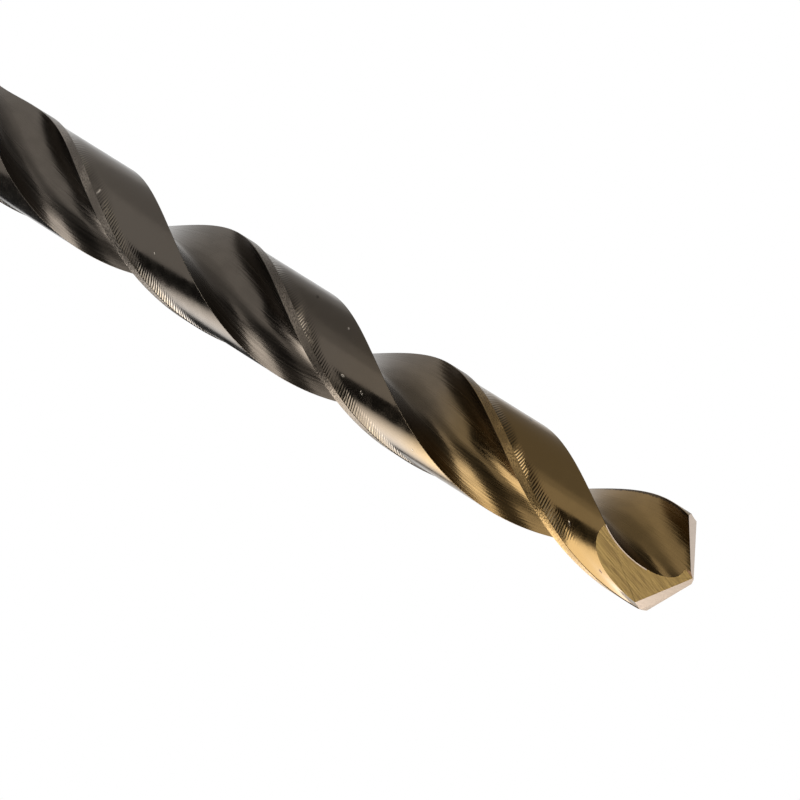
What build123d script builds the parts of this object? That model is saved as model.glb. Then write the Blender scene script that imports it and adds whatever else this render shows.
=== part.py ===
from build123d import *
import os
from math import atan2, ceil, cos, pi, radians, sin, sqrt, tan

# A straight-shank, two-flute twist drill of jobber length, ground from one round bar.
# Millimetres. The drill stands on its shank end: origin at the centre of that end, +Z along
# the axis to the point, and the two cutting lips parallel to X.

# ---- driving dimensions -------------------------------------------------------------------
drill_diameter = 10.0  # over the margins
shank_diameter = 9.98  # cylinder that the chuck grips, a trace slimmer than the point
overall_length = 130.0  # shank end to chisel edge
flute_length = 95.0  # point to the last trace of the flutes
shank_end_chamfer = 0.8

helix_angle = 30.0  # at the outer diameter, right-handed
web_thickness = 1.32  # between the flutes, at the point
web_growth = 1.7  # extra web thickness over 100 mm of depth
land_width = 6.58  # round the outside, margin included, at the point
land_growth = 1.11  # extra land width over 100 mm of depth
margin_width = 0.94  # full-diameter strip behind the leading edge
body_clearance = 0.27  # how far the rest of the land lies below the margin

flute_root_radius = 2.65  # hollow of the flute, beside the web
flute_root_arc = 38.7  # degrees turned by that hollow before the heel side
heel_lean = 20.7  # of the heel side from straight outwards, in degrees
wheel_radius = 28.0  # of the wheel whose exit ends the flutes
back_taper = 0.06  # off the diameter over the margins, in 100 mm

point_angle = 115.0  # between the lips
lip_relief = 13.7  # slope of the primary facets behind the lips
gash_slope = 61.3  # of the second facet, measured from the plane of the point
gash_offset = 0.16  # of that facet beyond the axis, level with the chisel edge
split_reach = 0.6  # from the axis to where the split shortens each lip
chisel_half_width = 0.06  # left of the chisel edge beside the split

cut_margin = 2.0  # how far the cutting solids stand clear of the blank
exit_margin = 1.0  # how far they carry on past the end of the flutes
sections_per_turn = 10  # of the lofted cutting solids
rake_steps = 3  # between the points of each section's rake side

# ---- worked out ---------------------------------------------------------------------------
drill_radius = drill_diameter / 2
body_radius = drill_radius - body_clearance
heel_radius = drill_radius - body_clearance / 2
cutter_radius = max(drill_radius, shank_diameter / 2) + cut_margin
lead = pi * drill_diameter / tan(radians(helix_angle))
twist = 2 * pi / lead  # radians for each millimetre along the axis
cone_slope = 1 / tan(radians(point_angle / 2))  # drop of a lip for each millimetre outwards
half_web = web_thickness / 2
shank_length = overall_length - flute_length
chisel_drop = half_web * tan(radians(lip_relief))  # chisel edge below the apex of the lips
apex_height = overall_length + chisel_drop
root_turn = radians(flute_root_arc)


def half_web_at(depth):
    """Half the web at a depth below the point, where the core grows towards the shank."""
    return half_web + web_growth / 2 * depth / 100


def lip_angle(reach, web):
    """Section angle of the straight lip's point at a reach along it, untwisted to the apex."""
    return atan2(web, reach) + twist * cone_slope * reach


def leading_angle(web):
    """Section angle of the leading edge, at the full radius."""
    return lip_angle(sqrt(drill_radius**2 - web**2), web)


def rake_point(reach, web):
    """Point of the flute's rake side, the one curve that grinds to a straight lip."""
    radius = sqrt(reach**2 + web**2)
    return (radius * cos(lip_angle(reach, web)), radius * sin(lip_angle(reach, web)))


def rake_tangent(reach, web):
    """Direction of the rake side at a reach, towards the axis."""
    radius = sqrt(reach**2 + web**2)
    turn = twist * cone_slope - web / radius**2
    swing = lip_angle(reach, web)
    along_x = reach / radius * cos(swing) - radius * sin(swing) * turn
    along_y = reach / radius * sin(swing) + radius * cos(swing) * turn
    return (-along_x, -along_y)


def root_point(web, turn):
    """Point of the hollow beside the web, where its curve has turned by an angle."""
    return (-flute_root_radius * sin(turn), web + flute_root_radius * (1 - cos(turn)))


def heel_tangent(heel):
    """Direction in which the flute's far side meets the heel."""
    return polar(1, heel - radians(heel_lean))


def polar(radius, angle):
    return (radius * cos(angle), radius * sin(angle))


def section_plane(depth, web, lift=0.0, towards=0.0):
    """Plane of a section, turned so that every leading edge lies on one helix."""
    swing = leading_angle(half_web) - leading_angle(web) - twist * depth
    middle_x, middle_y = polar(lift, swing + towards)
    return Plane(
        origin=(middle_x, middle_y, apex_height - depth),
        x_dir=(cos(swing), sin(swing), 0),
    )


def land_angle_at(depth):
    """Angle that a land takes up round the outside."""
    return (land_width + land_growth * depth / 100) / drill_radius


# ---- flutes -------------------------------------------------------------------------------
# The wheel leaves the drill on an arc, so the flute floor rises until it passes the surface.
exit_lift = drill_radius - half_web_at(flute_length)
run_out_length = sqrt(wheel_radius**2 - (wheel_radius - exit_lift) ** 2)
run_out_start = flute_length - run_out_length


def flute_lift(depth):
    """How far the flute's section has moved outwards at a depth."""
    past = max(0.0, depth - run_out_start)
    return wheel_radius - sqrt(wheel_radius**2 - past**2)


cut_length = cut_margin + flute_length + exit_margin
cut_steps = ceil(cut_length / lead * sections_per_turn)
cut_depths = [cut_length * i / cut_steps - cut_margin for i in range(cut_steps + 1)]

with BuildPart() as flute:
    for depth in cut_depths:
        web = half_web_at(depth)
        outer_reach = sqrt(cutter_radius**2 - web**2)
        lead_in = leading_angle(web)
        heel = lead_in + pi - land_angle_at(depth)
        middle = (lead_in + heel) / 2
        reaches = [outer_reach * (1 - i / rake_steps) for i in range(rake_steps + 1)]
        root_points = [root_point(web, root_turn / 2), root_point(web, root_turn)]
        with BuildSketch(section_plane(depth, web, flute_lift(depth), middle)):
            with BuildLine():
                Spline(
                    *[rake_point(reach, web) for reach in reaches],
                    *root_points,
                    polar(heel_radius, heel),
                    tangents=(rake_tangent(outer_reach, web), heel_tangent(heel)),
                )
                Line(polar(heel_radius, heel), polar(cutter_radius, heel))
                ThreePointArc(
                    polar(cutter_radius, heel),
                    polar(cutter_radius, middle),
                    rake_point(outer_reach, web),
                )
            make_face()
    loft()

# ---- margins ------------------------------------------------------------------------------
strip_length = cut_margin + flute_length
margin_depths = [strip_length * i / cut_steps - cut_margin for i in range(cut_steps + 1)]

with BuildPart() as margin:
    for depth in margin_depths:
        leading = leading_angle(half_web)
        trailing = leading - margin_width / drill_radius
        in_flute = leading + (pi - land_angle_at(depth)) / 2
        outer = drill_radius - back_taper / 2 * depth / 100
        with BuildSketch(section_plane(depth, half_web)):
            with BuildLine():
                ThreePointArc(
                    polar(outer, trailing), polar(outer, leading), polar(outer, in_flute)
                )
                Line(polar(outer, in_flute), polar(half_web, in_flute))
                Line(polar(half_web, in_flute), polar(half_web, trailing))
                Line(polar(half_web, trailing), polar(outer, trailing))
            make_face()
    loft()

# ---- split of the point -------------------------------------------------------------------
# A gash is the space between two planes: the steep second facet, which runs down to the heel,
# and the wall that shortens the other land's lip near the axis.
gash_floor = Plane(
    origin=(0, -gash_offset, apex_height - chisel_drop),
    x_dir=(1, 0, 0),
    z_dir=(0, -sin(radians(gash_slope)), cos(radians(gash_slope))),
)
split_length = sqrt(split_reach**2 + half_web**2)
split_angle = atan2(half_web, split_reach) - atan2(chisel_half_width, split_length)
gash_wall = Plane(
    origin=(-split_reach, -half_web, apex_height),
    x_dir=(cos(split_angle), sin(split_angle), 0),
    z_dir=(sin(split_angle), -cos(split_angle), 0),
)
gash_block = 2 * (cutter_radius + cutter_radius * tan(radians(gash_slope)))

with BuildPart() as gash:
    with Locations((0, 0, apex_height)):
        Box(gash_block, gash_block, gash_block)
    split(bisect_by=gash_floor, keep=Keep.TOP)
    split(bisect_by=gash_wall, keep=Keep.TOP)

# ---- point --------------------------------------------------------------------------------
def primary_facet(side):
    """Plane that holds the lip on one side of the axis and falls away behind it."""
    along_lip = Vector(side, 0, -cone_slope)
    behind_lip = Vector(0, side, tan(radians(lip_relief)))
    return Plane(
        origin=(0, side * half_web, apex_height),
        x_dir=along_lip,
        z_dir=along_lip.cross(behind_lip),
    )


# The margins join the body before the flutes are cut. The shank joins last, and its shoulder
# is where the margins run in.
with BuildPart() as drill_bit:
    with Locations((0, 0, shank_length)):
        Cylinder(
            body_radius,
            flute_length + cut_margin / 2,
            align=(Align.CENTER, Align.CENTER, Align.MIN),
        )
    with PolarLocations(0, 2):
        add(margin.part)
    with PolarLocations(0, 2):
        add(flute.part, mode=Mode.SUBTRACT)
    for side in (1, -1):
        split(bisect_by=primary_facet(side), keep=Keep.BOTTOM)
    with PolarLocations(0, 2):
        add(gash.part, mode=Mode.SUBTRACT)
    Cylinder(
        shank_diameter / 2, shank_length, align=(Align.CENTER, Align.CENTER, Align.MIN)
    )
    chamfer(drill_bit.edges().sort_by(Axis.Z)[0], shank_end_chamfer)

drill_bit.part.label = "drill_bit"
os.makedirs("parts", exist_ok=True)
export_step(drill_bit.part, "parts/drill_bit.step")
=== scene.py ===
from math import acos, atan2, ceil, cos, hypot, pi, radians, sin, sqrt, tan

import bmesh
import bpy
from mathutils import Matrix, Vector


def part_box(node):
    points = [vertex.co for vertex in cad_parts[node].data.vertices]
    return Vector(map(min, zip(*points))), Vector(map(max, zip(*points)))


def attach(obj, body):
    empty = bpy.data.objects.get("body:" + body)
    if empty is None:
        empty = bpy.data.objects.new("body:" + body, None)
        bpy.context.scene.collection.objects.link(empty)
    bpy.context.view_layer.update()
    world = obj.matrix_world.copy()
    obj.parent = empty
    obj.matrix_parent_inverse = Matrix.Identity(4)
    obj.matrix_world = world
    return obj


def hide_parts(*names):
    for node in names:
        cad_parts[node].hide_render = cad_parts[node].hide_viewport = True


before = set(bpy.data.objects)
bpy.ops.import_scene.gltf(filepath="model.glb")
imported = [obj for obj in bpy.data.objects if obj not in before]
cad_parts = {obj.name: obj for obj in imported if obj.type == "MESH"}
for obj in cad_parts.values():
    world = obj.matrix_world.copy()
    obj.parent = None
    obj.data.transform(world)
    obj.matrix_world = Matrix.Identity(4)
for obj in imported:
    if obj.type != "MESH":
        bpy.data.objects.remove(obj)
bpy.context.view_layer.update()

MM = 0.001

# ---- the drill's sizes, in millimetres ----------------------------------------------------
drill_low, drill_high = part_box("drill_bit")
OVERALL_LENGTH = (drill_high[2] - drill_low[2]) / MM
DRILL_RADIUS = 5.0
SHANK_RADIUS = 4.99
SHANK_CHAMFER = 0.8
FLUTE_LENGTH = 95.0
HELIX_ANGLE = 30.0
HALF_WEB = 0.66
WEB_GROWTH = 0.0085  # of half the web, for each millimetre of depth
LAND_WIDTH = 6.58
LAND_GROWTH = 0.0111  # of the land's width, for each millimetre of depth
MARGIN_WIDTH = 0.94
BODY_CLEARANCE = 0.27
BACK_TAPER = 0.0003  # of the margin's radius, for each millimetre of depth
STEP_HEIGHT = 0.05  # straight wall of the margin's step
RELIEF_WIDTH = 1.3  # of the hollow that runs from the step to the body's own radius
EDGE_BREAK = 0.04  # taken off the corners of the lands
ROOT_RADIUS = 2.65
ROOT_ARC = 38.7
WHEEL_RADIUS = 28.0

POINT_ANGLE = 115.0
LIP_RELIEF = 13.7
GASH_SLOPE = 61.3
GASH_OFFSET = 0.16
GASH_BLOCK = 40.0  # of the block that each gash cutter starts as
SPLIT_REACH = 0.6
CHISEL_HALF_WIDTH = 0.06

CORNER_ROUND = 0.25  # worn off the outer corners of the point
RIM_HIGHLIGHT_WIDTH = 0.1  # of the painted highlight along the edge between a gash and the flute beside it
RIM_HIGHLIGHT_FADES_AT = 2.4  # from the axis, inside which that edge has no painted highlight
STROKE_ANGLE = 24.4  # between the slope of a second facet and its grinding lines

# ---- how finely it is meshed --------------------------------------------------------------
LAYER_STEP = 0.36  # between the outlines down the flutes
TIP_LAYER_STEP = 0.15
TIP_DEPTH = 4.5  # how far down the finer layers reach
MARGIN_POINTS = 5
FLUTE_POINTS = 56
CLEARANCE_POINTS = 16
RELIEF_POINTS = 9
HALF_POINTS = MARGIN_POINTS + FLUTE_POINTS + CLEARANCE_POINTS + RELIEF_POINTS
SECTION_POINTS = 2 * HALF_POINTS
RAKE_STEPS = 60  # of the exact flute curve, before its points are spaced out
ROOT_STEPS = 16
HEEL_STEPS = 40
OVERSHOOT = 1.0  # of that curve beyond the bar at both ends
ABOVE_POINT = 0.6  # how far the fluted bar starts above the apex of the lips
WELD = 0.002  # points nearer than this are one
CUT_SNAP = 0.0005  # points this near a cutting plane lie on it
SAME_WAY = 0.9999  # cosine between normals that count as one direction
SHARP_FROM = radians(28)  # edges that turn more than this stay sharp

# The finishes, in the order of the mesh's materials.
MARGIN, FLUTE, CLEARANCE, SHANK, LIP_FACET, GASH_FACET, GASH_WALL = range(7)

# ---- worked out ---------------------------------------------------------------------------
BODY_RADIUS = DRILL_RADIUS - BODY_CLEARANCE
TWIST = tan(radians(HELIX_ANGLE)) / DRILL_RADIUS  # radians for each millimetre of depth
CONE_SLOPE = 1 / tan(radians(POINT_ANGLE / 2))
CHISEL_DROP = HALF_WEB * tan(radians(LIP_RELIEF))
APEX_HEIGHT = OVERALL_LENGTH + CHISEL_DROP
SHANK_LENGTH = OVERALL_LENGTH - FLUTE_LENGTH
MARGIN_ANGLE = MARGIN_WIDTH / DRILL_RADIUS


def polar(radius, angle):
    return Vector((radius * cos(angle), radius * sin(angle)))


def half_web_at(depth):
    return HALF_WEB + WEB_GROWTH * depth


def rake_point(reach, web):
    """Point of the flute's rake side that grinds to a straight lip."""
    return polar(hypot(reach, web), atan2(web, reach) + TWIST * CONE_SLOPE * reach)


def leading_angle(web):
    corner = rake_point(sqrt(DRILL_RADIUS**2 - web**2), web)
    return atan2(corner.y, corner.x)


def land_angle_at(depth):
    return (LAND_WIDTH + LAND_GROWTH * depth) / DRILL_RADIUS


def arc_from(start, heading, radius, turn, count):
    """Points of an arc that starts at a point in a direction and turns to the right."""
    to_centre = Vector((heading.y, -heading.x)) * radius
    centre = start + to_centre
    points = []
    for i in range(1, count + 1):
        points.append(centre + Matrix.Rotation(-turn * i / count, 2) @ -to_centre)
    return points


def flute_curve(depth):
    """One flute in section: the rake side, the hollow by the web and the side to the heel."""
    web = half_web_at(depth)
    leading = leading_angle(web)
    heel = polar(BODY_RADIUS + BODY_CLEARANCE / 2, leading + pi - land_angle_at(depth))
    outer_reach = DRILL_RADIUS + OVERSHOOT
    points = [rake_point(outer_reach * (1 - i / RAKE_STEPS), web) for i in range(RAKE_STEPS + 1)]
    root = arc_from(points[-1], Vector((-1, 0)), ROOT_RADIUS, radians(ROOT_ARC), ROOT_STEPS)
    points += root
    heading = Matrix.Rotation(-radians(ROOT_ARC), 2) @ Vector((-1, 0))
    chord = heel - root[-1]
    swing = acos(max(-1, min(1, chord.normalized().dot(heading))))
    radius = chord.length / (2 * sin(swing))
    points += arc_from(root[-1], heading, radius, 2 * swing, HEEL_STEPS)
    last_heading = Matrix.Rotation(-2 * swing, 2) @ heading
    points.append(points[-1] + last_heading * OVERSHOOT)
    return points


# The flutes end in the arc of the wheel, whose floor climbs to the surface.
FLUTE_EXIT_LIFT = DRILL_RADIUS - half_web_at(FLUTE_LENGTH)
RUN_OUT_LENGTH = sqrt(WHEEL_RADIUS**2 - (WHEEL_RADIUS - FLUTE_EXIT_LIFT) ** 2)


def flute_lift(depth):
    """How far the flute's section has moved outwards at a depth."""
    past = max(0.0, depth - (FLUTE_LENGTH - RUN_OUT_LENGTH))
    return WHEEL_RADIUS - sqrt(max(0.0, WHEEL_RADIUS**2 - past**2))


def crossing(inner, outer, radius):
    """Where the line between two points passes a radius."""
    share = (radius - inner.length) / (outer.length - inner.length)
    return inner.lerp(outer, min(1, max(0, share)))


def cut_flute(depth, middle, outer):
    """The part of a flute's section that lies inside the bar, in evenly spaced points."""
    lift = polar(flute_lift(depth), middle)
    points = [point + lift for point in flute_curve(depth)]
    inside = [i for i, point in enumerate(points) if point.length < BODY_RADIUS]
    if not inside:
        step = polar(outer, middle)
        floor_point = polar(BODY_RADIUS, middle)
        return [step.lerp(floor_point, i / (FLUTE_POINTS - 1)) for i in range(FLUTE_POINTS)]
    first = inside[0]
    while points[first - 1].length < outer:
        first -= 1
    last = inside[-1]
    path = [crossing(points[first], points[first - 1], outer)]
    path += points[first:last + 1]
    path.append(crossing(points[last], points[last + 1], BODY_RADIUS))
    return spaced(path, FLUTE_POINTS, EDGE_BREAK)


def spaced(path, count, skip):
    """The same path in a number of points with equal steps, without a little at each end."""
    lengths = [0.0]
    for before, after in zip(path, path[1:]):
        lengths.append(lengths[-1] + (after - before).length)
    points = []
    step = 0
    for i in range(count):
        wanted = skip + (lengths[-1] - 2 * skip) * i / (count - 1)
        while step < len(path) - 2 and lengths[step + 1] < wanted:
            step += 1
        span = lengths[step + 1] - lengths[step]
        share = (wanted - lengths[step]) / span if span > 0 else 0
        points.append(path[step].lerp(path[step + 1], share))
    return points


def swing_at(depth):
    """How far a section is turned, so that every leading edge lies on one helix."""
    return leading_angle(HALF_WEB) - leading_angle(half_web_at(depth)) - TWIST * depth


def fluted_section(depth):
    """Outline of the fluted body at a depth: points, and each one's distance round the land."""
    web = half_web_at(max(0.0, depth))
    leading = leading_angle(web)
    heel = leading + pi - land_angle_at(depth)
    middle = (leading + heel) / 2
    outer = DRILL_RADIUS - BACK_TAPER * depth
    flute = cut_flute(depth, middle, outer)
    heel_at = atan2(flute[-1].y, flute[-1].x) % (2 * pi)
    lead_at = atan2(flute[0].y, flute[0].x)
    trailing = leading - MARGIN_ANGLE
    break_angle = EDGE_BREAK / DRILL_RADIUS
    margin_end = lead_at - break_angle
    half = []
    around = []
    for i in range(MARGIN_POINTS):
        share = i / (MARGIN_POINTS - 1)
        half.append(polar(outer, trailing + (margin_end - trailing) * share))
        around.append(MARGIN_WIDTH * share)
    half += flute
    flute_step = (flute[1] - flute[0]).length
    around += [MARGIN_WIDTH + flute_step * i for i in range(FLUTE_POINTS)]
    relief_start = trailing + pi - RELIEF_WIDTH / DRILL_RADIUS
    heel_end = min(heel_at + break_angle, relief_start)
    for i in range(CLEARANCE_POINTS):
        angle = heel_end + (relief_start - heel_end) * i / CLEARANCE_POINTS
        half.append(polar(BODY_RADIUS, angle))
        around.append((angle - trailing - pi) * DRILL_RADIUS)
    for i in range(RELIEF_POINTS):
        share = i / (RELIEF_POINTS - 1)
        rise = (outer - STEP_HEIGHT - BODY_RADIUS) * share**2
        half.append(polar(BODY_RADIUS + rise, relief_start + share * RELIEF_WIDTH / DRILL_RADIUS))
        around.append(RELIEF_WIDTH * (share - 1))
    turned = Matrix.Rotation(swing_at(depth), 2)
    points = [turned @ point for point in half] + [turned @ -point for point in half]
    return points, around + around


def round_section(radius, depth):
    """Outline of the shank, with its points spread like the fluted section's."""
    start = leading_angle(half_web_at(depth)) - MARGIN_ANGLE + swing_at(depth)
    angles = [2 * pi * i / SECTION_POINTS for i in range(SECTION_POINTS)]
    return [polar(radius, start + angle) for angle in angles], [radius * a for a in angles]


def layers():
    """Height and outline of every layer, from above the point to the shank's end."""
    tip_steps = ceil((TIP_DEPTH + ABOVE_POINT) / TIP_LAYER_STEP)
    steps = ceil((FLUTE_LENGTH - TIP_DEPTH) / LAYER_STEP)
    depths = [(TIP_DEPTH + ABOVE_POINT) * i / tip_steps - ABOVE_POINT for i in range(tip_steps)]
    depths += [TIP_DEPTH + (FLUTE_LENGTH - TIP_DEPTH) * i / steps for i in range(steps + 1)]
    for depth in depths:
        yield APEX_HEIGHT - depth, fluted_section(depth)
    for radius, height in (
        (SHANK_RADIUS, SHANK_LENGTH + CHISEL_DROP),
        (SHANK_RADIUS, SHANK_CHAMFER),
        (SHANK_RADIUS - SHANK_CHAMFER, 0.0),
    ):
        yield height, round_section(radius, FLUTE_LENGTH)


def sweep(bm, all_layers):
    """Spins the first outline down the drill, then gives each layer its own outline."""
    height, (outline, distances) = all_layers[0]
    order = bm.verts.layers.int.new("order")
    around = bm.verts.layers.float.new("around")
    ring = [bm.verts.new((point.x, point.y, height)) for point in outline]
    edges = [bm.edges.new((a, b)) for a, b in zip(ring, ring[1:] + ring[:1])]
    for i, vert in enumerate(ring):
        vert[order] = i
    bmesh.ops.spin(
        bm, geom=ring + edges, axis=(0, 0, 1), dvec=(0, 0, -1), angle=0.0001,
        steps=len(all_layers) - 1, use_duplicate=False,
    )
    for vert in bm.verts:
        level, (outline, distances) = all_layers[round(height - vert.co.z)]
        point = outline[vert[order]]
        vert.co = (point.x, point.y, level)
        vert[around] = distances[vert[order]]
    lay_out(bm, order, around)


def lay_out(bm, order, around):
    """Gives each face its finish, and a map in millimetres: depth, and distance round the land."""
    flute_map = bm.loops.layers.uv.new("along_flute")
    for face in bm.faces:
        places = sorted(vert[order] for vert in face.verts)
        start = places[0] if places[-1] - places[0] < HALF_POINTS else places[-1]
        start %= HALF_POINTS
        if min(vert.co.z for vert in face.verts) < SHANK_LENGTH - 0.01:
            face.material_index = SHANK
        elif start < MARGIN_POINTS:
            face.material_index = MARGIN
        elif start < MARGIN_POINTS + FLUTE_POINTS - 1:
            face.material_index = FLUTE
        else:
            face.material_index = CLEARANCE
        for loop in face.loops:
            loop[flute_map].uv = (APEX_HEIGHT - loop.vert.co.z, loop.vert[around])


def cut_away(bm, through, normal):
    """Takes off what lies beyond a plane and closes the cut with one face."""
    cut = bmesh.ops.bisect_plane(
        bm, geom=bm.verts[:] + bm.edges[:] + bm.faces[:], dist=CUT_SNAP,
        plane_co=through, plane_no=normal, clear_outer=True,
    )
    rim = [e for e in cut["geom_cut"] if isinstance(e, bmesh.types.BMEdge)]
    return bmesh.ops.contextual_create(bm, geom=rim)["faces"]


def new_object(name, bm):
    """A new object whose mesh is what was built, in the scene's collection."""
    mesh = bpy.data.meshes.new(name)
    bm.to_mesh(mesh)
    bm.free()
    piece = bpy.data.objects.new(name, mesh)
    bpy.context.scene.collection.objects.link(piece)
    return piece


def gash_normal(side):
    """Out of the second facet that faces one side."""
    slope = radians(GASH_SLOPE)
    return Vector((0, -side * sin(slope), cos(slope)))


def gash_wall_normal(side):
    """Out of the short wall that ends a gash beside the chisel edge."""
    split_length = hypot(SPLIT_REACH, HALF_WEB)
    swing = atan2(HALF_WEB, SPLIT_REACH) - atan2(CHISEL_HALF_WIDTH, split_length)
    return side * Vector((sin(swing), -cos(swing), 0))


def gash_cutter(side):
    """The wedge that a gash takes off: above the second facet and beyond its end wall."""
    bm = bmesh.new()
    bmesh.ops.create_cube(bm, size=GASH_BLOCK)
    bmesh.ops.translate(bm, verts=bm.verts, vec=(0, 0, APEX_HEIGHT))
    cut_away(bm, (0, -side * GASH_OFFSET, OVERALL_LENGTH), -gash_normal(side))
    cut_away(bm, (-side * SPLIT_REACH, -side * HALF_WEB, APEX_HEIGHT), -gash_wall_normal(side))
    bmesh.ops.recalc_face_normals(bm, faces=bm.faces)
    return new_object("gash_cutter", bm)


def cut_with(piece, cutters):
    """Takes the cutters out of a piece, leaves the result in its mesh and drops the cutters."""
    for cutter in cutters:
        cut = piece.modifiers.new("gash", "BOOLEAN")
        cut.operation = "DIFFERENCE"
        cut.solver = "EXACT"
        cut.object = cutter
    seen = piece.evaluated_get(bpy.context.evaluated_depsgraph_get())
    finished = bpy.data.meshes.new_from_object(seen)
    piece.modifiers.clear()
    piece.data = finished
    for cutter in cutters:
        bpy.data.objects.remove(cutter)


def mark_gashes(bm):
    """Gives the split's facets and walls their own finishes."""
    for face in bm.faces:
        if face.calc_center_median().z < OVERALL_LENGTH - TIP_DEPTH * 2:
            continue
        for side in (1, -1):
            if face.normal.dot(gash_normal(side)) > SAME_WAY:
                face.material_index = GASH_FACET
            elif face.normal.dot(gash_wall_normal(side)) > SAME_WAY:
                face.material_index = GASH_WALL


def round_corners(bm):
    """Rounds the edges where the lip facets meet the outside of the lands."""
    worn = []
    for edge in bm.edges:
        finishes = {face.material_index for face in edge.link_faces}
        if LIP_FACET in finishes and finishes & {MARGIN, CLEARANCE}:
            worn.append(edge)
    bmesh.ops.bevel(
        bm, geom=worn, offset=CORNER_ROUND, segments=3, profile=0.5, affect="EDGES",
        clamp_overlap=True, material=-1,
    )


def gash_facets(bm):
    """The split's steep second facets."""
    return [face for face in bm.faces if face.material_index == GASH_FACET]


def paint_rim_highlights(bm):
    """Insets a narrow flat strip where a second facet meets the flute beside it, and paints it in
    the paler lip facet finish as a highlight along the edge.
    """
    rims = bmesh.ops.inset_region(
        bm, faces=gash_facets(bm), thickness=RIM_HIGHLIGHT_WIDTH, use_boundary=True, use_even_offset=False
    )
    # Painted highlight: the flat strip beside the flute takes the paler lip facet colour.
    for face in rims["faces"]:
        beside = {other.material_index for edge in face.edges for other in edge.link_faces}
        if FLUTE in beside and face.calc_center_median().xy.length > RIM_HIGHLIGHT_FADES_AT:
            face.material_index = LIP_FACET
    bmesh.ops.triangulate(
        bm, faces=gash_facets(bm), quad_method="BEAUTY", ngon_method="BEAUTY"
    )


def mark_sharp_edges(bm):
    """Keeps the ground facets flat, and the corners of the lands crisp."""
    for edge in bm.edges:
        finishes = {face.material_index for face in edge.link_faces}
        flat = finishes & {GASH_FACET, GASH_WALL} or finishes == {LIP_FACET, FLUTE}
        edge.smooth = not flat and edge.calc_face_angle(0) < SHARP_FROM


def map_facet(face, flute_map):
    """Lays a facet's map along the strokes that ground it, in millimetres."""
    stroke, across = Vector((1, 0, 0)), Vector((0, 1, 0))
    if face.material_index != LIP_FACET:
        side = 1 if face.normal.y < 0 else -1
        slope = radians(GASH_SLOPE)
        turn = radians(STROKE_ANGLE)
        down_slope = Vector((0, -side * cos(slope), -sin(slope)))
        sideways = Vector((-side, 0, 0))
        stroke = sideways * sin(turn) + down_slope * cos(turn)
        across = stroke.cross(gash_normal(side))
    for loop in face.loops:
        loop[flute_map].uv = (loop.vert.co.dot(stroke), loop.vert.co.dot(across))


def finish_point(mesh):
    """Marks and maps the facets, rounds the worn corners, and paints a highlight along the gashes'
    rims.
    """
    bm = bmesh.new()
    bm.from_mesh(mesh)
    bm.normal_update()
    for face in bm.faces:
        face.smooth = True
    mark_gashes(bm)
    round_corners(bm)
    paint_rim_highlights(bm)
    bm.normal_update()
    flute_map = bm.loops.layers.uv["along_flute"]
    for face in bm.faces:
        if face.material_index in (LIP_FACET, GASH_FACET, GASH_WALL):
            map_facet(face, flute_map)
    mark_sharp_edges(bm)
    bm.to_mesh(mesh)
    bm.free()


def ground_bar():
    """The fluted bar with its shank, closed below and ground to the two lip facets."""
    bm = bmesh.new()
    sweep(bm, list(layers()))
    end_ring = [e for e in bm.edges if e.is_boundary and e.verts[0].co.z < 0.01]
    bmesh.ops.contextual_create(bm, geom=end_ring)
    for side in (1, -1):
        along_lip = Vector((side, 0, -CONE_SLOPE))
        behind_lip = Vector((0, side, tan(radians(LIP_RELIEF))))
        on_lip = (0, side * HALF_WEB, APEX_HEIGHT)
        for facet in cut_away(bm, on_lip, along_lip.cross(behind_lip)):
            facet.material_index = LIP_FACET
    bmesh.ops.remove_doubles(bm, verts=bm.verts, dist=WELD)
    bmesh.ops.recalc_face_normals(bm, faces=bm.faces)
    return new_object("twist_drill", bm)


drill = ground_bar()
cut_with(drill, [gash_cutter(1), gash_cutter(-1)])
mesh = drill.data
finish_point(mesh)
mesh.transform(Matrix.Scale(MM, 4))
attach(drill, "root")
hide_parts("drill_bit")

# ---- finishes -----------------------------------------------------------------------------
# The coating is straw gold at the point and turns to a brown grey towards the shank.
COATING_BY_DEPTH = (
    (0, (0.190, 0.121, 0.048)),
    (22, (0.175, 0.112, 0.046)),
    (27, (0.155, 0.105, 0.050)),
    (32, (0.122, 0.095, 0.066)),
    (41, (0.102, 0.084, 0.066)),
    (54, (0.092, 0.078, 0.064)),
    (80, (0.098, 0.084, 0.070)),
)
DEEPEST = COATING_BY_DEPTH[-1][0]


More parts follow.
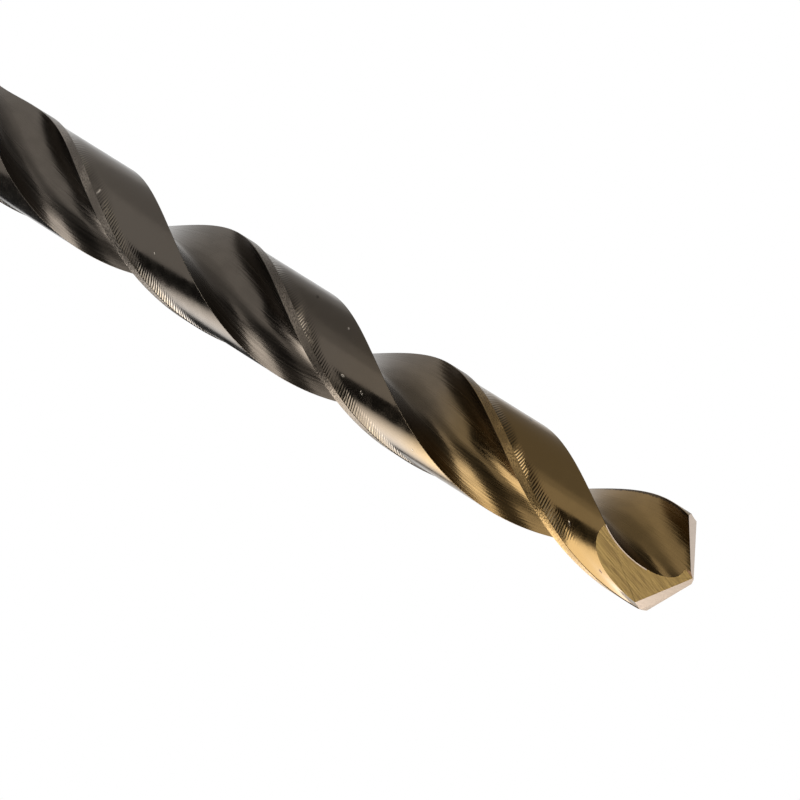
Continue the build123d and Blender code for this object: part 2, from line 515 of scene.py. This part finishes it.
class Finish:
    """A metallic finish in the making: its material, and the nodes that shape it."""

    def __init__(self, name, roughness):
        self.material = bpy.data.materials.new(name)
        self.material.use_nodes = True
        self.tree = self.material.node_tree
        self.shader = self.tree.nodes["Principled BSDF"]
        self.shader.inputs["Metallic"].default_value = 1.0
        self.shader.inputs["Roughness"].default_value = roughness
        place = self.node("ShaderNodeTexCoord")
        self.object_place = place.outputs["Object"]
        self.flute_place = place.outputs["UV"]

    def node(self, kind, **settings):
        node = self.tree.nodes.new(kind)
        for name, value in settings.items():
            setattr(node, name, value)
        return node

    def link(self, source, target):
        """Feeds a socket from another one, or sets it to a number."""
        if isinstance(source, (int, float)):
            target.default_value = source
        else:
            self.tree.links.new(source, target)

    def math(self, operation, *values):
        node = self.node("ShaderNodeMath", operation=operation)
        for value, socket in zip(values, node.inputs):
            self.link(value, socket)
        return node.outputs[0]

    def between(self, value, low, high, to_low=0.0, to_high=1.0):
        """The value's place between low and high, eased, as a number from to_low to to_high."""
        node = self.node("ShaderNodeMapRange", interpolation_type="SMOOTHSTEP")
        for source, socket in zip((value, low, high, to_low, to_high), node.inputs):
            self.link(source, socket)
        return node.outputs[0]

    def noise(self, place, stretch, detail=2.0, offset=(0, 0, 0)):
        """Noise whose grain is as many times finer along each axis as stretch says."""
        mapping = self.node("ShaderNodeMapping", vector_type="POINT")
        mapping.inputs["Scale"].default_value = stretch
        mapping.inputs["Location"].default_value = offset
        self.link(place, mapping.inputs["Vector"])
        noise = self.node("ShaderNodeTexNoise")
        noise.inputs["Scale"].default_value = 1.0
        noise.inputs["Detail"].default_value = detail
        self.link(mapping.outputs["Vector"], noise.inputs["Vector"])
        return noise.outputs["Fac"]

    def coating(self):
        """The coating's colour by depth below the point."""
        split = self.node("ShaderNodeSeparateXYZ")
        self.link(self.object_place, split.inputs[0])
        share = self.node("ShaderNodeMapRange")
        share.inputs["From Min"].default_value = OVERALL_LENGTH * MM
        share.inputs["From Max"].default_value = (OVERALL_LENGTH - DEEPEST) * MM
        self.link(split.outputs["Z"], share.inputs["Value"])
        drift = self.noise(self.object_place, (160, 160, 60))
        shifted = self.math("ADD", share.outputs[0], self.math("MULTIPLY_ADD", drift, 0.1, -0.05))
        node = self.node("ShaderNodeValToRGB")
        ramp = node.color_ramp
        while len(ramp.elements) < len(COATING_BY_DEPTH):
            ramp.elements.new(1.0)
        for stop, (depth, colour) in zip(ramp.elements, COATING_BY_DEPTH):
            stop.position = depth / DEEPEST
            stop.color = (*colour, 1)
        self.link(shifted, node.inputs[0])
        return node.outputs["Color"]

    def shade(self, colour, amount):
        """The colour, lighter or darker by an amount."""
        node = self.node("ShaderNodeVectorMath", operation="SCALE")
        self.link(colour, node.inputs[0])
        self.link(amount, node.inputs["Scale"])
        return node.outputs[0]

    def tint(self, colour, other, share):
        """The colour, moved towards another by a share."""
        node = self.node("ShaderNodeMix", data_type="RGBA")
        self.link(share, node.inputs["Factor"])
        self.link(colour, node.inputs["A"])
        node.inputs["B"].default_value = (*other, 1)
        return node.outputs["Result"]

    def marks(self, places):
        """One at each of the marks, fading to nothing round their ragged edges."""
        ragged = self.noise(self.flute_place, (9.0, 9.0, 1.0), detail=2)
        total = 0.0
        for depth, around, length, width, turn in places:
            mapping = self.node("ShaderNodeMapping", vector_type="TEXTURE")
            mapping.inputs["Location"].default_value = (depth, around, 0)
            mapping.inputs["Rotation"].default_value = (0, 0, radians(turn))
            mapping.inputs["Scale"].default_value = (length, width, 1)
            self.link(self.flute_place, mapping.inputs["Vector"])
            reach = self.node("ShaderNodeVectorMath", operation="LENGTH")
            self.link(mapping.outputs["Vector"], reach.inputs[0])
            near = self.math("ADD", reach.outputs["Value"], self.math("MULTIPLY", ragged, 1.2))
            total = self.math("MAXIMUM", self.between(near, 1.5, 0.9), total)
        return total

    def bump(self, height, distance):
        """Adds a relief, in millimetres, to what the surface already has."""
        node = self.node("ShaderNodeBump")
        node.inputs["Distance"].default_value = distance * MM
        self.link(height, node.inputs["Height"])
        before = self.shader.inputs["Normal"].links
        if before:
            self.link(before[0].from_socket, node.inputs["Normal"])
        self.link(node.outputs[0], self.shader.inputs["Normal"])

    def finish(self, colour, roughness=None):
        """Paints the shader, and hands over the material."""
        self.link(colour, self.shader.inputs["Base Color"])
        if roughness is not None:
            self.link(roughness, self.shader.inputs["Roughness"])
        return self.material


def flute_finish():
    """Polished along the flute by the wheel, with fine lines down its length."""
    f = Finish("flute_coating", 0.24)
    lines = f.noise(f.flute_place, (0.1, 5.0, 1.0), detail=2)
    cloud = f.noise(f.flute_place, (0.5, 0.7, 1.0), detail=3, offset=(5, 3, 0))
    f.bump(lines, 0.012)
    colour = f.shade(f.coating(), f.between(cloud, 0.3, 0.7, 0.94, 1.06))
    split = f.node("ShaderNodeSeparateXYZ")
    f.link(f.flute_place, split.inputs[0])
    depth, around = split.outputs["X"], split.outputs["Y"]
    chips = f.noise(f.flute_place, (4.0, 2.0, 1.0), detail=3, offset=(1, 4, 0))
    reach = f.math("MULTIPLY_ADD", chips, 0.45, MARGIN_WIDTH - 0.02)
    along_edge = f.between(f.math("SUBTRACT", around, reach), 0.06, 0.0)
    worn = f.math("MULTIPLY", along_edge, f.between(depth, 17, 13))
    colour = f.tint(colour, (0.03, 0.022, 0.015), f.math("MULTIPLY", worn, 0.85))
    return f.finish(colour, f.between(lines, 0.3, 0.7, 0.18, 0.28))


def margin_finish():
    """Speckled by wear, and rubbed paler in patches."""
    f = Finish("margin_coating", 0.3)
    speckle = f.noise(f.flute_place, (5.0, 6.0, 1.0), detail=3)
    f.bump(speckle, 0.035)
    patch = f.between(f.noise(f.flute_place, (0.22, 0.3, 1.0), offset=(4, 2, 0)), 0.42, 0.6)
    rubbed = f.math("MULTIPLY", patch, f.between(speckle, 0.42, 0.58, 0.1, 1.1))
    colour = f.shade(f.coating(), f.math("ADD", rubbed, 1))
    return f.finish(colour, f.between(speckle, 0.3, 0.7, 0.24, 0.4))


RIPPLE_PITCH = 0.28
RIPPLE_REACH = 1.9

# Small nicks on the lands: depth, distance round, length along, width, and turn in degrees.
NICKS = (
    (39.8, -1.7, 0.35, 0.12, 40),
    (37.2, -2.7, 0.25, 0.14, 0),
    (42.35, -4.74, 0.2, 0.16, 20),
    (11.6, -1.9, 0.28, 0.14, -30),
    (73.76, -0.45, 0.13, 0.5, 0),
    (64.6, -3.4, 0.2, 0.12, 60),
    (30.2, -4.1, 0.16, 0.13, 0),
    (55.9, -2.2, 0.2, 0.1, 45),
)
# Dark stains, in the same way.
STAINS = (
    (22.1, -3.97, 0.45, 0.3, 0),
    (27.5, -2.9, 0.4, 0.2, 30),
    (47.6, -3.2, 0.35, 0.25, 10),
)


def clearance_finish():
    """Ground round the body, with a ripple from every turn beside the margin's step, whose crests
    carry a painted highlight.
    """
    f = Finish("clearance_coating", 0.28)
    split = f.node("ShaderNodeSeparateXYZ")
    f.link(f.flute_place, split.inputs[0])
    depth, around = split.outputs["X"], split.outputs["Y"]
    wander = f.noise(f.flute_place, (1.1, 0.6, 1.0), detail=2, offset=(2, 7, 0))
    uneven_depth = f.math("ADD", depth, f.math("MULTIPLY", wander, 0.3))
    phase = f.math("MULTIPLY", uneven_depth, 2 * pi / RIPPLE_PITCH)
    wave = f.math("SINE", phase)
    near_step = f.between(around, -RIPPLE_REACH, -0.25)
    patches = f.noise(f.flute_place, (0.25, 0.3, 1.0), offset=(9, 1, 0))
    patch = f.between(patches, 0.35, 0.65, 0.35, 1.0)
    worn_in = f.between(depth, 9, 14)
    strength = f.math("MULTIPLY", near_step, f.math("MULTIPLY", patch, worn_in))
    ripple = f.math("MULTIPLY", wave, strength)
    f.bump(ripple, 0.016)
    speckle = f.noise(f.object_place, (900, 900, 900), detail=3)
    f.bump(speckle, 0.005)
    nicks = f.marks(NICKS)
    f.bump(nicks, -0.03)
    # Painted highlight: the ripple's crests are tinted paler in colour, as if they caught the
    # light.
    painted_crest_highlight = f.between(ripple, 0.25, 0.95, 0, 0.42)
    colour = f.tint(f.coating(), (0.46, 0.38, 0.26), painted_crest_highlight)
    colour = f.tint(colour, (0.45, 0.40, 0.34), f.math("MULTIPLY", nicks, 0.75))
    colour = f.tint(colour, (0.03, 0.022, 0.014), f.math("MULTIPLY", f.marks(STAINS), 0.8))
    return f.finish(colour, f.between(speckle, 0.3, 0.7, 0.13, 0.2))


def shank_finish():
    """Ground on centres, with fine rings."""
    f = Finish("shank_coating", 0.3)
    turned = f.noise(f.object_place, (20, 20, 4000), detail=2)
    f.bump(turned, 0.004)
    return f.finish(f.coating())


def lip_facet_finish():
    """The two facets behind the lips, ground fine."""
    f = Finish("lip_facet", 0.3)
    lines = f.noise(f.flute_place, (7.0, 0.5, 1.0), detail=2)
    f.bump(lines, 0.006)
    bare = f.between(lines, 0.2, 0.8, 0.85, 1.0)
    return f.finish(f.tint(f.coating(), (0.55, 0.43, 0.33), bare))


def gash_facet_finish():
    """The steep second facets, with the wheel's coarse lines across them."""
    f = Finish("gash_facet", 0.38)
    fine = f.noise(f.flute_place, (0.5, 7.0, 1.0), detail=3)
    coarse = f.noise(f.flute_place, (0.1, 2.2, 1.0), detail=2, offset=(3, 0, 0))
    f.bump(fine, 0.02)
    strokes = f.math("ADD", f.math("MULTIPLY", fine, 0.5), f.math("MULTIPLY", coarse, 0.5))
    bright = f.between(strokes, 0.36, 0.62, 0.25, 0.95)
    return f.finish(f.tint(f.coating(), (0.42, 0.28, 0.10), bright))


def gash_wall_painted_shade_finish():
    """The short wall beside the chisel edge, left rough by the corner of the wheel, and darkened
    in colour as painted shade in its notch.
    """
    f = Finish("gash_wall", 0.5)
    # Painted shade: the wall's colour is darkened as if it were shaded in the notch.
    return f.finish(f.tint(f.coating(), (0.12, 0.07, 0.055), 0.7))


for finish in (
    margin_finish, flute_finish, clearance_finish, shank_finish, lip_facet_finish,
    gash_facet_finish, gash_wall_painted_shade_finish,
):
    mesh.materials.append(finish())

# ---- floor, backdrop and cards ------------------------------------------------------------
def sheet(name, size, place, facing):
    """A flat sheet of the stage, in metres: its middle, and the way that it faces."""
    sheet_mesh = bpy.data.meshes.new(name)
    bm = bmesh.new()
    bmesh.ops.create_grid(bm, x_segments=1, y_segments=1, size=0.5)
    bmesh.ops.scale(bm, vec=(size[0], size[1], 1), verts=bm.verts)
    bm.to_mesh(sheet_mesh)
    bm.free()
    made = bpy.data.objects.new(name, sheet_mesh)
    bpy.context.scene.collection.objects.link(made)
    made.location = place
    made.rotation_euler = Vector(facing).to_track_quat("Z", "Y").to_euler()
    return made


def white_paint():
    """Plain white where it is seen or reflected, and a pale matt floor to the light."""
    made = bpy.data.materials.new("floor_white")
    made.use_nodes = True
    tree = made.node_tree
    paint = tree.nodes["Principled BSDF"]
    paint.inputs["Base Color"].default_value = (0.8, 0.8, 0.8, 1)
    paint.inputs["Roughness"].default_value = 0.9
    path = tree.nodes.new("ShaderNodeLightPath")
    seen_or_reflected = tree.nodes.new("ShaderNodeMath")
    seen_or_reflected.operation = "MAXIMUM"
    tree.links.new(path.outputs["Is Camera Ray"], seen_or_reflected.inputs[0])
    tree.links.new(path.outputs["Is Glossy Ray"], seen_or_reflected.inputs[1])
    seen = tree.nodes.new("ShaderNodeMath")
    seen.operation = "MAXIMUM"
    tree.links.new(seen_or_reflected.outputs[0], seen.inputs[0])
    tree.links.new(path.outputs["Is Transmission Ray"], seen.inputs[1])
    white = tree.nodes.new("ShaderNodeEmission")
    mix = tree.nodes.new("ShaderNodeMixShader")
    tree.links.new(seen.outputs[0], mix.inputs[0])
    tree.links.new(paint.outputs[0], mix.inputs[1])
    tree.links.new(white.outputs[0], mix.inputs[2])
    tree.links.new(mix.outputs[0], tree.nodes["Material Output"].inputs["Surface"])
    return made


def card_paint(name, level):
    """A grey that shows as one even tone in the metal."""
    paint = bpy.data.materials.new(name)
    paint.use_nodes = True
    shader = paint.node_tree.nodes["Principled BSDF"]
    shader.inputs["Base Color"].default_value = (0, 0, 0, 1)
    shader.inputs["Specular IOR Level"].default_value = 0
    shader.inputs["Emission Color"].default_value = (level, level, level, 1)
    shader.inputs["Emission Strength"].default_value = 1
    return paint


floor = sheet("floor", (12, 12), (0, 0, 0), (0, 0, 1))
backdrop = sheet("backdrop", (5, 2.4), (-0.9, -1.6, 1.2), (0.5, 0.87, 0))
floor_paint = white_paint()
floor.data.materials.append(floor_paint)
backdrop.data.materials.append(floor_paint)

# The cards give the polished metal dark and grey tones to reflect, unseen themselves.
black = card_paint("card_black", 0.045)
grey = card_paint("card_grey", 0.45)
pale = card_paint("card_pale", 0.72)
for card, paint in (
    (sheet("card_left", (0.15, 0.44), (-0.125, 0.1, 0.002), (0, 0, 1)), black),
    (sheet("card_front", (0.65, 0.2), (0.27, 0.4, 0.1), (0, -1, 0)), black),
    (sheet("card_right", (0.55, 0.2), (0.4, -0.17, 0.1), (-1, 0, 0)), black),
    (sheet("card_beside", (0.3, 0.8), (0.275, 0.0, 0.002), (0, 0, 1)), grey),
    (sheet("card_between", (0.05, 0.8), (0.1, 0.0, 0.002), (0, 0, 1)), pale),
):
    card.data.materials.append(paint)
    card.visible_camera = False
    card.visible_shadow = False

# ---- camera -------------------------------------------------------------------------------
CAMERA_FROM_APEX = Vector((79.157, 376.026, 172.327))  # in millimetres
CAMERA_TURN = (-44.5531, -48.0864, -49.0349)
LENS_FOR_FRAME = 207.93

camera_data = bpy.data.cameras.new("camera")
camera_data.sensor_width = 36
camera_data.lens = LENS_FOR_FRAME
camera_data.clip_end = 50
camera = bpy.data.objects.new("camera", camera_data)
bpy.context.scene.collection.objects.link(camera)
camera.location = MM * (CAMERA_FROM_APEX + Vector((0, 0, APEX_HEIGHT)))
camera.rotation_euler = [radians(part) for part in CAMERA_TURN]
bpy.context.scene.camera = camera

# ---- light --------------------------------------------------------------------------------
bpy.context.view_layer.update()
view = camera.matrix_world.to_3x3()
DRILL_MIDDLE = Vector((0, 0, 0.102))  # of the part of it in view


def softbox(name, place, size, radiance, aim_at=DRILL_MIDDLE, spread=180):
    """A soft lamp at a place in metres, as bright as its radiance, and unseen itself."""
    data = bpy.data.lights.new(name, "AREA")
    data.shape = "RECTANGLE"
    data.size = size[0]
    data.size_y = size[1]
    data.energy = radiance * pi * size[0] * size[1]
    data.spread = radians(spread)
    lamp = bpy.data.objects.new(name, data)
    bpy.context.scene.collection.objects.link(lamp)
    lamp.location = place
    lamp.rotation_euler = (Vector(aim_at) - lamp.location).to_track_quat("-Z", "Y").to_euler()
    lamp.visible_camera = False
    return lamp


def by_camera(right, up, back):
    """A place by the camera's own right, up and back, from the middle of the flutes."""
    return DRILL_MIDDLE + view @ Vector((right, up, back))


softbox("window_lamp", by_camera(0.153, 0.30, 0.42), (0.34, 0.28), 4.6)
softbox("table_lamp", (-0.21, 0.05, 0.14), (0.42, 0.28), 3.7, (0, 0.05, 0.14))
softbox("low_lamp", (-0.11, 0.01, 0.028), (0.28, 0.052), 1.7, (0, 0.01, 0.042), 80)
softbox("fill_lamp", by_camera(-0.16, -0.32, 0.60), (0.4, 0.3), 1.6)

world = bpy.data.worlds.new("studio")
world.use_nodes = True
world.node_tree.nodes["Background"].inputs["Color"].default_value = (0.15, 0.143, 0.135, 1)
bpy.context.scene.world = world
bpy.context.scene.view_settings.view_transform = "Standard"
